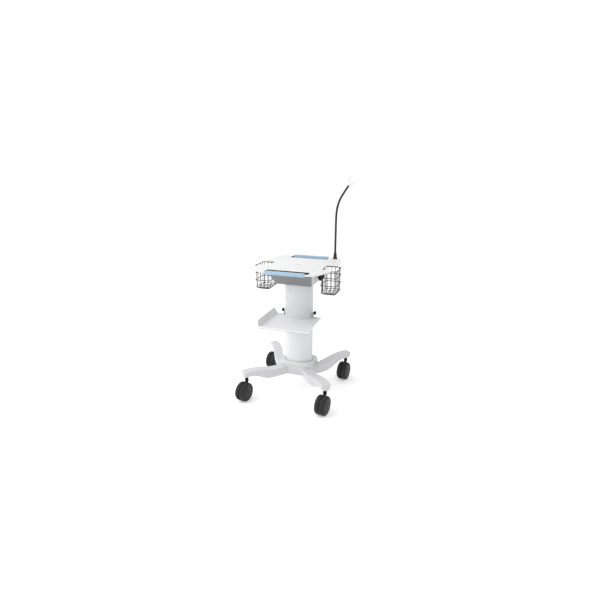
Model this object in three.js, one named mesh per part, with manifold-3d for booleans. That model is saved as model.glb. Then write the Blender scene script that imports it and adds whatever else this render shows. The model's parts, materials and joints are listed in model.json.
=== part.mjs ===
// Mobile cart for a portable medical imaging unit: four-arm base on twin-wheel casters, oval column,
// clamped tray, docking platform with two grips, two hanging baskets and a gooseneck cable holder.
// Millimetres, +Z up, front at -Y, left at -X. Pieces are laid out round the column's axis and the
// whole cart is then shifted so that the origin is on the floor at the centre of its footprint.
import * as THREE from "three";
import { mergeVertices } from "three/addons/utils/BufferGeometryUtils.js";
import Module from "manifold-3d";

const wasm = await Module();
wasm.setup();

// ---- Driving dimensions ----
const gap = 0.3; // clearance between pieces that meet
const columnToFootprintCentre = 47; // the column stands this far behind the footprint's centre

const wheelRadius = 58;
const wheelWidth = 27;
const wheelSpacing = 8; // space between a caster's two wheels
const tyreDepth = 10;
const casterTrail = 32; // axle offset from the swivel axis
const axleRadius = 5;
const neckRadius = 11.5;
const neckBottom = 113;
const stemRadius = 6;
const frontStem = { x: 251, y: -262 };
const rearStem = { x: 259, y: 226 };

const armRoot = { bottom: 112, top: 167 };
const armEnd = { bottom: 148, top: 184 };
const armHalfWidth = 29;
const armThickness = 36;
const stemTop = 172;
const hubBottom = 112;
const hubTop = 180;
const hubPocketFloor = 127;
const collarTop = 197;

const columnHalfWidth = 90;
const columnHalfDepth = 65;
const columnWall = 4;
const columnBottom = hubPocketFloor + gap;
const columnTop = 776;
const columnScrewX = 60;
const columnScrewY = 40;

const housingBottom = 709;
const plateTop = 816;
const plateThickness = 6;
const plateBottom = plateTop - plateThickness;
const flangeBottom = columnTop - 6;
const platformScrewX = 98;
const platformScrewY = 62;

const notchInnerX = 168;
const notchFrontY = -84;
const notchRearY = 38;
const frontSlotHalfLength = 131;
const rearSlotHalfLength = 122;
const railOuterY = 258;
const railInnerY = 240;
const slotInnerY = 187;
const gripHalfLength = 117;
const gripDepth = 26;
const gripHeight = 22;
const gripEndRounding = 3;

const basketInnerX = 158;
const basketOuterX = 259;
const basketFrontY = -88;
const basketRearY = 45;
const basketTop = 809.4;
const basketHeight = 149.4;
const basketWall = 3.5;
const bracketInnerX = 141.5;
const bracketFrontY = -60;
const bracketRearY = 12;
const bracketBottom = 737;

const trayFloor = 485;
const trayHalfWidth = 146;
const trayFrontY = -288;
const trayRearY = 12;
const traySheet = 2.5;
const trayLipRise = 36;
const trayLipSpread = 25;
const trayLipChamfer = 36;
const trayFrontLip = 12;
const knobHeight = 515;
const knobRadius = 12;
const knobThickness = 14;
const tSlotMouth = 7;
const tSlotWidth = 14;

const neckX = 166;
const neckY = 234;
const neckTubeRadius = 7;
const neckFootTop = 858;
const neckPivotHeight = 1040;
const neckRoute = [
  [166, 1040],
  [167, 1090],
  [170, 1126],
  [178, 1163],
  [192, 1199],
  [214, 1236],
  [240, 1276],
];

// ---- Materials ----
function finish(color, roughness, metalness = 0) {
  return new THREE.MeshStandardMaterial({ color, roughness, metalness });
}
const castWhite = finish(0xeeeef0, 0.45);
const columnGrey = finish(0xd9dadd, 0.4, 0.2);
const plateWhite = finish(0xf3f3f3, 0.5);
const housingGrey = finish(0xc9cacd, 0.5);
const trayWhite = finish(0xe6e7e9, 0.45);
const gripBlue = finish(0xa6d2ea, 0.5);
const wireBlack = finish(0x2a2b2d, 0.4, 0.3);
const moulded = finish(0x1d1e20, 0.55);
const tyreGrey = finish(0x38393b, 0.75);
const hubGrey = finish(0x2f3032, 0.55);
const steel = finish(0xb4b6b9, 0.35, 0.9);
const neckBlack = finish(0x1b1b1c, 0.6);
const clipWhite = finish(0xf0f0ee, 0.45);

// ---- Building helpers ----
function solid(geometry) {
  const bare = geometry.index ? geometry.toNonIndexed() : geometry.clone();
  bare.deleteAttribute("normal");
  bare.deleteAttribute("uv");
  const merged = mergeVertices(bare, 1e-4);
  const vertProperties = new Float32Array(merged.attributes.position.array);
  const triVerts = new Uint32Array(merged.index.array);
  return new wasm.Manifold(new wasm.Mesh({ numProp: 3, vertProperties, triVerts }));
}

function piece(name, manifold, material) {
  const { vertProperties, triVerts } = manifold.getMesh();
  const geometry = new THREE.BufferGeometry();
  geometry.setAttribute("position", new THREE.BufferAttribute(new Float32Array(vertProperties), 3));
  geometry.setIndex(new THREE.BufferAttribute(new Uint32Array(triVerts), 1));
  geometry.computeVertexNormals();
  const mesh = new THREE.Mesh(geometry, material);
  mesh.name = name;
  return mesh;
}

// An outline from [x, y, corner radius] points, each corner rounded by a curve.
function roundedOutline(corners) {
  const shape = new THREE.Shape();
  corners.forEach(([x, y, radius], i) => {
    const here = new THREE.Vector2(x, y);
    const before = new THREE.Vector2(...corners.at(i - 1));
    const after = new THREE.Vector2(...corners[(i + 1) % corners.length]);
    const start = here.clone().add(before.sub(here).setLength(radius));
    const end = here.clone().add(after.sub(here).setLength(radius));
    if (i === 0) shape.moveTo(start.x, start.y);
    else shape.lineTo(start.x, start.y);
    if (radius > 0) shape.quadraticCurveTo(x, y, end.x, end.y);
  });
  shape.closePath();
  return shape;
}

function roundedRectangle(halfWidth, frontY, rearY, radius) {
  return roundedOutline([
    [-halfWidth, frontY, radius],
    [halfWidth, frontY, radius],
    [halfWidth, rearY, radius],
    [-halfWidth, rearY, radius],
  ]);
}

// The column's oval outline, grown all round by an amount.
function columnClearance(growth) {
  const width = columnHalfWidth + growth;
  const depth = columnHalfDepth + growth;
  return new THREE.Shape().absellipse(0, 0, width, depth, 0, 2 * Math.PI);
}

// A flat shape raised from one height to another, its edges rounded over by edge millimetres.
function raise(shape, bottom, top, { edge = 0, curveSegments = 4, edgeSteps = 2, steps = 1 } = {}) {
  const geometry = new THREE.ExtrudeGeometry(shape, {
    depth: top - bottom - 2 * edge,
    bevelEnabled: edge > 0,
    bevelThickness: edge,
    bevelSize: edge,
    bevelOffset: -edge,
    bevelSegments: edgeSteps,
    curveSegments,
    steps,
  });
  geometry.translate(0, 0, bottom + edge);
  return geometry;
}

// A profile drawn in the X-Z plane, drawn out along Y from one depth to another.
function drawAlongY(shape, frontY, rearY, curveSegments = 4) {
  const geometry = new THREE.ExtrudeGeometry(shape, {
    depth: rearY - frontY,
    bevelEnabled: false,
    curveSegments,
  });
  return geometry.rotateX(Math.PI / 2).translate(0, rearY, 0);
}

function block(x0, x1, y0, y1, z0, z1) {
  const geometry = new THREE.BoxGeometry(x1 - x0, y1 - y0, z1 - z0);
  return solid(geometry.translate((x0 + x1) / 2, (y0 + y1) / 2, (z0 + z1) / 2));
}

// A turned piece: profile points are [radius, height], from the axis back to the axis.
function turned(profile, segments = 12) {
  const points = profile.map(([radius, height]) => new THREE.Vector2(radius, height));
  return new THREE.LatheGeometry(points, segments).rotateX(Math.PI / 2);
}

function rod(radius, bottom, top, segments = 12) {
  const profile = [
    [0, bottom],
    [radius, bottom],
    [radius, top],
    [0, top],
  ];
  return turned(profile, segments);
}

function joined(solids) {
  return solids.reduce((sum, next) => sum.add(next));
}

function without(body, cuts) {
  return cuts.reduce((left, cut) => left.subtract(cut), body);
}

function fourCorners(x, y) {
  return [
    [-x, -y],
    [x, -y],
    [-x, y],
    [x, y],
  ];
}

function mirroredPair(solidRight) {
  return { left: solidRight.mirror([1, 0, 0]), right: solidRight };
}

// ---- Base: a casting of a hub and four curved arms ----
const frontArmRoute = [
  [60, -55],
  [128, -138],
  [184, -190],
  [222, -228],
  [frontStem.x, frontStem.y],
  [frontStem.x + 15, frontStem.y - 19],
];
const rearArmRoute = [
  [60, -22],
  [118, 4],
  [160, 58],
  [200, 138],
  [232, 192],
  [rearStem.x, rearStem.y],
  [rearStem.x + 14, rearStem.y + 16],
];

// The plan outline of a band of constant width along a route, with rounded corners at its far end.
function bandOutline(route, halfWidth, endRadius) {
  const samples = 10;
  const curve = new THREE.SplineCurve(route.map(([x, y]) => new THREE.Vector2(x, y)));
  const length = curve.getLength();
  const side = (offset) => {
    const last = 1 - endRadius / length;
    return Array.from({ length: samples + 1 }, (_, i) => {
      const u = (i / samples) * last;
      const along = curve.getTangentAt(u);
      return curve.getPointAt(u).add(new THREE.Vector2(along.y, -along.x).multiplyScalar(offset));
    });
  };
  const right = side(halfWidth);
  const left = side(-halfWidth).reverse();
  const end = curve.getPointAt(1);
  const along = curve.getTangentAt(1);
  const across = new THREE.Vector2(along.y, -along.x);
  const reach = halfWidth - endRadius;
  const shape = new THREE.Shape(right);
  const corner = (side) => end.clone().addScaledVector(across, side * halfWidth);
  const flat = (side) => end.clone().addScaledVector(across, side * reach);
  shape.quadraticCurveTo(corner(1).x, corner(1).y, flat(1).x, flat(1).y);
  shape.lineTo(flat(-1).x, flat(-1).y);
  shape.quadraticCurveTo(corner(-1).x, corner(-1).y, left[0].x, left[0].y);
  left.slice(1).forEach((point) => shape.lineTo(point.x, point.y));
  shape.closePath();
  return shape;
}

// The arms hang low beside the hub and rise outwards to clear the casters.
function riseOutwards(geometry) {
  const position = geometry.attributes.position;
  const between = (start, end, share) => start + (end - start) * share;
  for (let i = 0; i < position.count; i += 1) {
    const out = Math.abs(position.getX(i));
    const top = between(armRoot.top, armEnd.top, THREE.MathUtils.smoothstep(out, 105, 235));
    const bottom = between(armRoot.bottom, armEnd.bottom, THREE.MathUtils.smoothstep(out, 150, 235));
    position.setZ(i, between(bottom, top, position.getZ(i) / armThickness));
  }
  return geometry;
}

function makeArm(route) {
  const outline = bandOutline(route, armHalfWidth, 14);
  return solid(riseOutwards(raise(outline, 0, armThickness, { edge: 7 })));
}

function makeBaseFrame() {
  const arms = [frontArmRoute, rearArmRoute].flatMap((route) => Object.values(mirroredPair(makeArm(route))));
  const hub = solid(raise(roundedRectangle(111, -84, 84, 60), hubBottom, hubTop, { edge: 4 }));
  const pocket = solid(raise(columnClearance(1), hubPocketFloor, hubTop + 5, { curveSegments: 18 }));
  const stemSockets = casters.flatMap(({ x, y }) => [
    solid(rod(stemRadius + gap, armEnd.bottom - 30, stemTop + gap)).translate(x, y, 0),
    solid(rod(neckRadius + 4, armEnd.bottom - 30, armEnd.bottom)).translate(x, y, 0),
  ]);
  const screwHoles = fourCorners(columnScrewX, columnScrewY).flatMap(([x, y]) => [
    solid(rod(3.4, hubBottom - 20, hubPocketFloor + 5, 8)).translate(x, y, 0),
    solid(rod(6.2, hubBottom - 20, hubBottom + 6, 8)).translate(x, y, 0),
  ]);
  return without(joined([...arms, hub]), [pocket, ...stemSockets, ...screwHoles]);
}

// The stepped cover that closes the foot of the column.
function makeCollar() {
  const low = raise(roundedRectangle(109, -82, 82, 60), hubTop + gap, collarTop - 7, { edge: 2 });
  const high = raise(roundedRectangle(105, -78, 78, 58), collarTop - 11, collarTop, { edge: 3 });
  const opening = raise(columnClearance(0.6), hubTop - 5, collarTop + 5, { curveSegments: 18 });
  return solid(low).add(solid(high)).subtract(solid(opening));
}

// ---- Column: an oval aluminium extrusion with a T-slot down each side and four screw channels,
// closed by a flange welded to its top ----
function makeColumn() {
  const span = [columnBottom, flangeBottom + 1];
  const outer = solid(raise(columnClearance(0), ...span, { curveSegments: 22 }));
  const bore = columnClearance(-columnWall);
  const inner = solid(raise(bore, columnBottom - 1, flangeBottom + 2, { curveSegments: 18 }));
  const rail = block(70, 88, -12, 12, ...span);
  const rails = joined(Object.values(mirroredPair(rail)));
  const channels = fourCorners(columnScrewX, columnScrewY).map(([x, y]) =>
    solid(rod(8, ...span, 10)).translate(x, y, 0),
  );
  const channelHoles = fourCorners(columnScrewX, columnScrewY).map(([x, y]) =>
    solid(rod(3.3, columnBottom - 1, flangeBottom, 8)).translate(x, y, 0),
  );
  const mouth = block(84, 95, -tSlotMouth / 2, tSlotMouth / 2, columnBottom - 1, flangeBottom + 2);
  const cavity = block(77, 85, -tSlotWidth / 2, tSlotWidth / 2, columnBottom - 1, flangeBottom + 2);
  const slots = Object.values(mirroredPair(mouth.add(cavity)));
  const inside = joined([rails, ...channels]).intersect(outer);
  const extrusion = without(outer.subtract(inner).add(inside), [...slots, ...channelHoles]);
  return extrusion.add(makeFlange());
}

function makeFlange() {
  const plate = solid(raise(roundedRectangle(112, -76, 76, 14), flangeBottom, columnTop));
  const cableHole = solid(rod(25, flangeBottom - 2, columnTop + 2));
  const screwHoles = fourCorners(platformScrewX, platformScrewY).map(([x, y]) =>
    solid(rod(3.4, flangeBottom - 2, columnTop + 2, 8)).translate(x, y, 0),
  );
  return without(plate, [cableHole, ...screwHoles]);
}

// A screw pointing up, the face of its head at height 0.
function screw(shankRadius, shankLength, headRadius, headHeight) {
  return solid(
    turned(
      [
        [0, 0],
        [headRadius, 0],
        [headRadius, headHeight],
        [shankRadius, headHeight],
        [shankRadius, headHeight + shankLength],
        [0, headHeight + shankLength],
      ],
      8,
    ),
  );
}

// ---- Under the platform: the bowl-shaped housing ----
// A bowl that widens from its foot to its rim; inset shrinks it evenly for the inner face.
function bowl(bottom, top, inset) {
  const rim = { halfWidth: 140 - inset, frontY: -184 + inset, rearY: 150 - inset };
  const foot = { halfWidth: 112 - inset, frontY: -100 + inset, rearY: 96 - inset };
  const rimCentre = (rim.frontY + rim.rearY) / 2;
  const footCentre = (foot.frontY + foot.rearY) / 2;
  const depthRatio = (foot.rearY - foot.frontY) / (rim.rearY - rim.frontY);
  const outline = roundedRectangle(rim.halfWidth, rim.frontY, rim.rearY, 24 - inset);
  const geometry = raise(outline, bottom, top, { steps: 3, curveSegments: 4 });
  const position = geometry.attributes.position;
  for (let i = 0; i < position.count; i += 1) {
    const rise = (position.getZ(i) - housingBottom) / (plateBottom - housingBottom);
    const open = Math.pow(Math.max(rise, 0), 0.7);
    const width = THREE.MathUtils.lerp(foot.halfWidth / rim.halfWidth, 1, open);
    const depth = THREE.MathUtils.lerp(depthRatio, 1, open);
    const centre = THREE.MathUtils.lerp(footCentre, rimCentre, open);
    position.setX(i, position.getX(i) * width);
    position.setY(i, centre + (position.getY(i) - rimCentre) * depth);
  }
  return solid(geometry);
}

function makeHousing() {
  const shell = bowl(housingBottom, plateBottom - gap, 0);
  const hollow = bowl(housingBottom + 3, plateBottom + 2, 3);
  const passage = columnClearance(0.6);
  const columnHole = raise(passage, housingBottom - 5, housingBottom + 20, { curveSegments: 18 });
  return without(shell, [hollow, solid(columnHole)]);
}

// ---- Platform: a plate with a hand slot front and rear and a notch for a basket at each side ----
function platformOutline() {
  const rightSide = [
    [154, -railOuterY, 16],
    [192, -222, 24],
    [230, -122, 26],
    [236, notchFrontY, 8],
    [notchInnerX, notchFrontY, 14],
    [notchInnerX, notchRearY, 14],
    [238, notchRearY, 8],
    [236, 110, 30],
    [212, 212, 24],
    [184, railOuterY, 16],
  ];
  const leftSide = rightSide.map(([x, y, radius]) => [-x, y, radius]).reverse();
  return roundedOutline([...rightSide, ...leftSide]);
}

function handSlot(side, halfLength) {
  const [low, high] = [side * railInnerY, side * slotInnerY].sort((a, b) => a - b);
  return roundedRectangle(halfLength, low, high, 5);
}

function makePlatform() {
  const outline = platformOutline();
  outline.holes.push(handSlot(-1, frontSlotHalfLength), handSlot(1, rearSlotHalfLength));
  const plate = solid(raise(outline, plateBottom, plateTop, { edge: 1.8, edgeSteps: 1, curveSegments: 3 }));
  const posts = fourCorners(platformScrewX, platformScrewY).map(([x, y]) =>
    solid(rod(9, columnTop + gap, plateBottom + 2, 10)).translate(x, y, 0),
  );
  const threads = fourCorners(platformScrewX, platformScrewY).map(([x, y]) =>
    solid(rod(3.3, columnTop - 5, plateBottom + 1, 8)).translate(x, y, 0),
  );
  const footRecesses = [
    [140, -137],
    [-140, -137],
    [150, 150],
    [-150, 150],
  ].map(([x, y]) => solid(rod(10, plateTop - 1.5, plateTop + 2, 12)).translate(x, y, 0));
  const latchSlot = block(-12, 12, -9, 1, plateBottom - 2, plateTop + 2);
  const neckHole = solid(rod(5.2, plateBottom - 2, plateTop + 2, 16)).translate(neckX, neckY, 0);
  return without(joined([plate, ...posts]), [...threads, ...footRecesses, latchSlot, neckHole]);
}

// A grip is a soft sleeve round the platform's rail.
function makeGrip(side) {
  const railCentre = (side * (railOuterY + railInnerY)) / 2;
  const railHalf = (railOuterY - railInnerY) / 2 + gap;
  const bottom = (plateTop + plateBottom - gripHeight) / 2;
  const section = roundedRectangle(gripDepth / 2, 0, gripHeight, 9.5);
  const sleeve = new THREE.ExtrudeGeometry(section, {
    depth: 2 * (gripHalfLength - gripEndRounding),
    bevelThickness: gripEndRounding,
    bevelSize: gripEndRounding,
    bevelOffset: -gripEndRounding,
    bevelSegments: 2,
    curveSegments: 4,
  });
  sleeve.translate(0, 0, gripEndRounding - gripHalfLength).rotateX(Math.PI / 2).rotateZ(Math.PI / 2);
  sleeve.translate(0, railCentre, bottom);
  const channel = block(
    -gripHalfLength - 2,
    gripHalfLength + 2,
    railCentre - railHalf,
    railCentre + railHalf,
    plateBottom - gap,
    plateTop + gap,
  );
  return solid(sleeve).subtract(channel);
}

// ---- Baskets, each carried under the platform's edge by a bracket ----
function makeBasket() {
  const outline = roundedOutline([
    [basketInnerX, basketFrontY, 14],
    [basketOuterX, basketFrontY, 14],
    [basketOuterX, basketRearY, 14],
    [basketInnerX, basketRearY, 14],
  ]);
  const well = roundedOutline([
    [basketInnerX + basketWall, basketFrontY + basketWall, 11],
    [basketOuterX - basketWall, basketFrontY + basketWall, 11],
    [basketOuterX - basketWall, basketRearY - basketWall, 11],
    [basketInnerX + basketWall, basketRearY - basketWall, 11],
  ]);
  const bottom = basketTop - basketHeight;
  const outside = solid(raise(outline, bottom, basketTop, { curveSegments: 3 }));
  const inside = solid(raise(well, bottom + basketWall, basketTop + 5, { curveSegments: 3 }));
  return outside.subtract(inside);
}

function makeBracket() {
  const face = basketInnerX - gap;
  const profile = roundedOutline([
    [bracketInnerX, bracketBottom + 12, 6],
    [face - 6, bracketBottom, 4],
    [face, bracketBottom + 4, 2],
    [face, plateBottom - gap, 0],
    [bracketInnerX, plateBottom - gap, 0],
  ]);
  return solid(drawAlongY(profile, bracketFrontY, bracketRearY, 2));
}

// ---- Tray: a folded sheet with raised sides, clamped into the column's side slots ----
function makeTray() {
  const side = trayHalfWidth;
  const lean = Math.atan2(trayLipRise, trayLipSpread);
  const fold = traySheet * Math.tan(lean / 2);
  const across = traySheet * Math.sin(lean);
  const down = traySheet * Math.cos(lean);
  const lipX = side + trayLipSpread;
  const lipTop = trayFloor + trayLipRise;
  const profile = new THREE.Shape();
  profile.moveTo(-lipX, lipTop);
  profile.lineTo(-lipX - across, lipTop - down);
  profile.lineTo(-side - fold, trayFloor - traySheet);
  profile.lineTo(side + fold, trayFloor - traySheet);
  profile.lineTo(lipX + across, lipTop - down);
  profile.lineTo(lipX, lipTop);
  profile.lineTo(side, trayFloor);
  profile.lineTo(-side, trayFloor);
  profile.closePath();
  const sheet = solid(drawAlongY(profile, trayFrontY, trayRearY));
  const reach = (trayFrontLip * trayLipSpread) / trayLipRise;
  const lip = roundedOutline([
    [-side - 1, trayFloor - 1, 0],
    [side + 1, trayFloor - 1, 0],
    [side + reach, trayFloor + trayFrontLip, 0],
    [-side - reach, trayFloor + trayFrontLip, 0],
  ]);
  const frontLip = solid(drawAlongY(lip, trayFrontY, trayFrontY + traySheet));
  const chamfer = new THREE.Shape();
  chamfer.moveTo(trayFrontY - 1, trayFloor + trayFrontLip);
  chamfer.lineTo(trayFrontY, trayFloor + trayFrontLip);
  chamfer.lineTo(trayFrontY + trayLipChamfer, lipTop + 1);
  chamfer.lineTo(trayFrontY - 1, lipTop + 1);
  chamfer.closePath();
  const corner = new THREE.ExtrudeGeometry(chamfer, { depth: 2 * lipX + 20, bevelEnabled: false });
  corner.rotateX(Math.PI / 2).rotateZ(Math.PI / 2).translate(-lipX - 10, 0, 0);
  const columnCut = raise(columnClearance(2.5), trayFloor - 30, trayFloor + 60, { curveSegments: 18 });
  return without(sheet.add(frontLip), [solid(corner), solid(columnCut)]);
}

function crossRod(radius, x0, x1, segments = 10) {
  return solid(rod(radius, x0, x1, segments).rotateY(Math.PI / 2));
}

function makeTrayClamp() {
  const upright = block(94.5, 98, -15, 11, trayFloor + gap, knobHeight + 18);
  const foot = block(94.5, 116, -15, 11, trayFloor + gap, trayFloor + 3 + gap);
  return upright.add(foot).subtract(crossRod(3.3, 90, 100).translate(0, 0, knobHeight));
}

// The nut that slides in the column's slot and takes the knob's stud.
function makeSlotNut() {
  const half = tSlotWidth / 2 - 0.5;
  return block(78, 84, -half, half, knobHeight - 9, knobHeight + 9).subtract(
    crossRod(3.2, 70, 90).translate(0, 0, knobHeight),
  );
}

// A lobed knob with its stud moulded in.
function makeKnob() {
  const lobes = 5;
  const points = Array.from({ length: 25 }, (_, i) => {
    const angle = (i / 25) * 2 * Math.PI;
    const radius = knobRadius - 1.4 + 1.4 * Math.cos(lobes * angle);
    return new THREE.Vector2(radius * Math.cos(angle), radius * Math.sin(angle));
  });
  const head = raise(new THREE.Shape(points), 0, knobThickness, { edge: 1.5, edgeSteps: 1 });
  const body = solid(head.rotateY(Math.PI / 2)).translate(98 + gap, 0, knobHeight);
  return body.add(crossRod(2.9, 79, 104).translate(0, 0, knobHeight));
}

// ---- Gooseneck cable holder ----
function makeNeckFoot() {
  const profile = [
    [0, plateBottom - 12],
    [4.8, plateBottom - 12],
    [4.8, plateTop + gap],
    [14.5, plateTop + gap],
    [14.5, plateTop + 5],
    [12, plateTop + 14],
    [8.8, neckFootTop],
    [0, neckFootTop],
  ];
  return solid(turned(profile, 16)).translate(neckX, neckY, 0);
}

function makeNeckNut() {
  const nut = solid(rod(9.5, plateBottom - 8, plateBottom - gap, 6));
  return nut.subtract(solid(rod(5.1, plateBottom - 9, plateBottom, 16))).translate(neckX, neckY, 0);
}

function makeLowerNeck() {
  const top = neckPivotHeight - neckTubeRadius - gap;
  return solid(rod(neckTubeRadius, neckFootTop + gap, top)).translate(neckX, neckY, 0);
}

function alongNeck(points, radius, sides, steps) {
  const path = new THREE.CatmullRomCurve3(points);
  const section = new THREE.Shape(
    Array.from({ length: sides }, (_, i) => {
      const angle = (i / sides) * 2 * Math.PI;
      return new THREE.Vector2(radius * Math.cos(angle), radius * Math.sin(angle));
    }),
  );
  return solid(new THREE.ExtrudeGeometry(section, { extrudePath: path, steps }));
}

function makeUpperNeck() {
  const points = neckRoute.map(([x, z]) => new THREE.Vector3(x, neckY, z));
  const tube = alongNeck(points, neckTubeRadius, 10, 12);
  const ball = new THREE.SphereGeometry(neckTubeRadius, 10, 6);
  return tube.add(solid(ball).translate(neckX, neckY, neckPivotHeight));
}

// The cable clip is laid out upright and then leaned over to stand on the neck's end.
const neckEnd = new THREE.Vector2(...neckRoute.at(-1));
const neckEndLean = Math.atan2(...neckEnd.clone().sub(new THREE.Vector2(...neckRoute.at(-2))));

function onNeckEnd(upright) {
  const degrees = THREE.MathUtils.radToDeg(neckEndLean);
  return upright.rotate([0, degrees, 0]).translate(neckEnd.x, neckY, neckEnd.y);
}

function makeClipCollar() {
  return onNeckEnd(solid(rod(9, gap + 0.4, 8)));
}

function makeClipFork() {
  const fingers = [
    [-16, 51, 3],
    [-24, 47, 2],
    [-21, 17, 10],
    [-8, 8.3, 2],
    [8, 8.3, 2],
    [21, 17, 10],
    [24, 47, 2],
    [16, 51, 3],
    [14, 24, 10],
    [-14, 24, 10],
  ];
  return onNeckEnd(solid(drawAlongY(roundedOutline(fingers), -7, 7, 3)));
}

// ---- Casters, each laid out round its own swivel axis with the wheels trailing to the front ----
const casters = [
  { name: "front_left", x: -frontStem.x, y: frontStem.y, turn: -10 },
  { name: "front_right", x: frontStem.x, y: frontStem.y, turn: -9 },
  { name: "rear_left", x: -rearStem.x, y: rearStem.y, turn: -6 },
  { name: "rear_right", x: rearStem.x, y: rearStem.y, turn: -8 },
];
const stemCollarBottom = armEnd.bottom - 5;

function makeStem() {
  const profile = [
    [0, neckBottom + 8],
    [stemRadius - 0.6, neckBottom + 8],
    [stemRadius - 0.6, stemCollarBottom],
    [neckRadius, stemCollarBottom],
    [neckRadius, armEnd.bottom - gap],
    [stemRadius, armEnd.bottom - gap],
    [stemRadius, stemTop],
    [0, stemTop],
  ];
  return solid(turned(profile));
}

function makeCasterBody() {
  const web = new THREE.Shape();
  const boss = 17;
  web.moveTo(neckRadius, neckBottom + 4);
  web.lineTo(neckRadius, neckBottom - 12);
  web.lineTo(-casterTrail + boss, wheelRadius - 4);
  web.absarc(-casterTrail, wheelRadius, boss, 0, Math.PI, true);
  web.lineTo(-casterTrail - boss, wheelRadius + 22);
  web.quadraticCurveTo(-casterTrail - 8, neckBottom - 14, -neckRadius, neckBottom + 4);
  web.closePath();
  const thickness = wheelSpacing - 2;
  const plate = new THREE.ExtrudeGeometry(web, {
    depth: thickness,
    bevelEnabled: false,
    curveSegments: 8,
  });
  plate.translate(0, 0, -thickness / 2).rotateX(Math.PI / 2).rotateZ(Math.PI / 2);
  const neck = solid(rod(neckRadius, neckBottom, stemCollarBottom - gap));
  const bearingHole = solid(rod(stemRadius, neckBottom + 7, stemCollarBottom + 5));
  const axleHole = crossRod(axleRadius + gap, -20, 20).translate(0, -casterTrail, wheelRadius);
  return solid(plate).add(neck).subtract(bearingHole).subtract(axleHole);
}

function makeAxle() {
  const reach = wheelSpacing / 2 + wheelWidth - 8;
  return crossRod(axleRadius, -reach, reach).translate(0, -casterTrail, wheelRadius);
}

// Wheels are turned about their axle; the profile runs [radius, distance from the caster's middle].
function onAxle(profile, side) {
  const wheel = turned(profile, 20).rotateY((side * Math.PI) / 2);
  return solid(wheel).translate(0, -casterTrail, wheelRadius);
}

function makeTyre(side) {
  const near = wheelSpacing / 2;
  const far = near + wheelWidth;
  const inner = wheelRadius - tyreDepth;
  const profile = [
    [inner, near + 1.5],
    [wheelRadius - 2, near],
    [wheelRadius, near + 2.5],
    [wheelRadius, far - 12],
    [wheelRadius - 2, far - 5],
    [wheelRadius - 7, far],
    [inner, far - 0.5],
    [inner, near + 1.5],
  ];
  return onAxle(profile, side);
}

function makeWheelHub(side) {
  const near = wheelSpacing / 2;
  const far = near + wheelWidth;
  const rim = wheelRadius - tyreDepth - gap;
  const profile = [
    [0, far - 7.5],
    [axleRadius + gap, far - 7.5],
    [axleRadius + gap, near + 0.5],
    [rim, near + 1.5],
    [rim, far - 0.5],
    [rim * 0.6, far + 2.5],
    [0, far + 4],
  ];
  return onAxle(profile, side);
}

function makeCaster({ name, x, y, turn }) {
  const caster = new THREE.Group();
  const swivelling = new THREE.Group();
  caster.add(piece(`caster_${name}_stem`, makeStem(), steel), swivelling);
  swivelling.add(
    piece(`caster_${name}_body`, makeCasterBody(), moulded),
    piece(`caster_${name}_axle`, makeAxle(), steel),
  );
  for (const [side, place] of [
    [-1, "left"],
    [1, "right"],
  ]) {
    swivelling.add(
      piece(`caster_${name}_${place}_tyre`, makeTyre(side), tyreGrey),
      piece(`caster_${name}_${place}_hub`, makeWheelHub(side), hubGrey),
    );
  }
  swivelling.rotation.z = THREE.MathUtils.degToRad(turn);
  caster.position.set(x, y, 0);
  return caster;
}

// ---- Assembly ----
const cart = new THREE.Group();
cart.position.y = columnToFootprintCentre;

cart.add(
  piece("base_frame", makeBaseFrame(), castWhite),
  piece("base_collar", makeCollar(), castWhite),
  piece("column", makeColumn(), columnGrey),
  piece("top_housing", makeHousing(), housingGrey),
  piece("platform_plate", makePlatform(), plateWhite),
  piece("front_grip", makeGrip(-1), gripBlue),
  piece("rear_grip", makeGrip(1), gripBlue),
  piece("tray", makeTray(), trayWhite),
  piece("gooseneck_foot", makeNeckFoot(), neckBlack),
  piece("gooseneck_nut", makeNeckNut(), steel),
  piece("gooseneck_lower", makeLowerNeck(), neckBlack),
  piece("gooseneck_upper", makeUpperNeck(), neckBlack),
  piece("clip_collar", makeClipCollar(), clipWhite),
  piece("clip_fork", makeClipFork(), clipWhite),
);

const pairedPieces = [
  ["basket", makeBasket(), wireBlack],
  ["basket_bracket", makeBracket(), moulded],
  ["tray_clamp", makeTrayClamp(), trayWhite],
  ["tray_slot_nut", makeSlotNut(), steel],
  ["tray_knob", makeKnob(), moulded],
];
for (const [name, shape, material] of pairedPieces) {
  for (const [place, oneSide] of Object.entries(mirroredPair(shape))) {
    cart.add(piece(`${name}_${place}`, oneSide, material));
  }
}

casters.forEach((caster) => cart.add(makeCaster(caster)));

const screwSets = [
  ["column_foot_screw", [3, 22, 5.6, 5.2], fourCorners(columnScrewX, columnScrewY), hubBottom + 0.5],
  ["platform_screw", [3, 18, 5.6, 5], fourCorners(platformScrewX, platformScrewY), flangeBottom - gap - 5],
];
for (const [name, size, corners, height] of screwSets) {
  corners.forEach(([x, y], i) => {
    const standing = screw(...size).translate(x, y, height);
    cart.add(piece(`${name}_${casters[i].name}`, standing, steel));
  });
}

const part = new THREE.Group();
part.add(cart);

export default part;
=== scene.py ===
"""Mobile cart for a portable medical imaging unit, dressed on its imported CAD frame.

Everything is in metres in the row frame: +Z up, front at -Y, left at -X, floor at z = 0.
Shapes below are laid out in millimetres round the column's axis, and put() moves them into place.
"""

import json
import math

import bmesh
import bpy
import numpy as np
from mathutils import Matrix, Vector
from mathutils.geometry import tessellate_polygon


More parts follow.
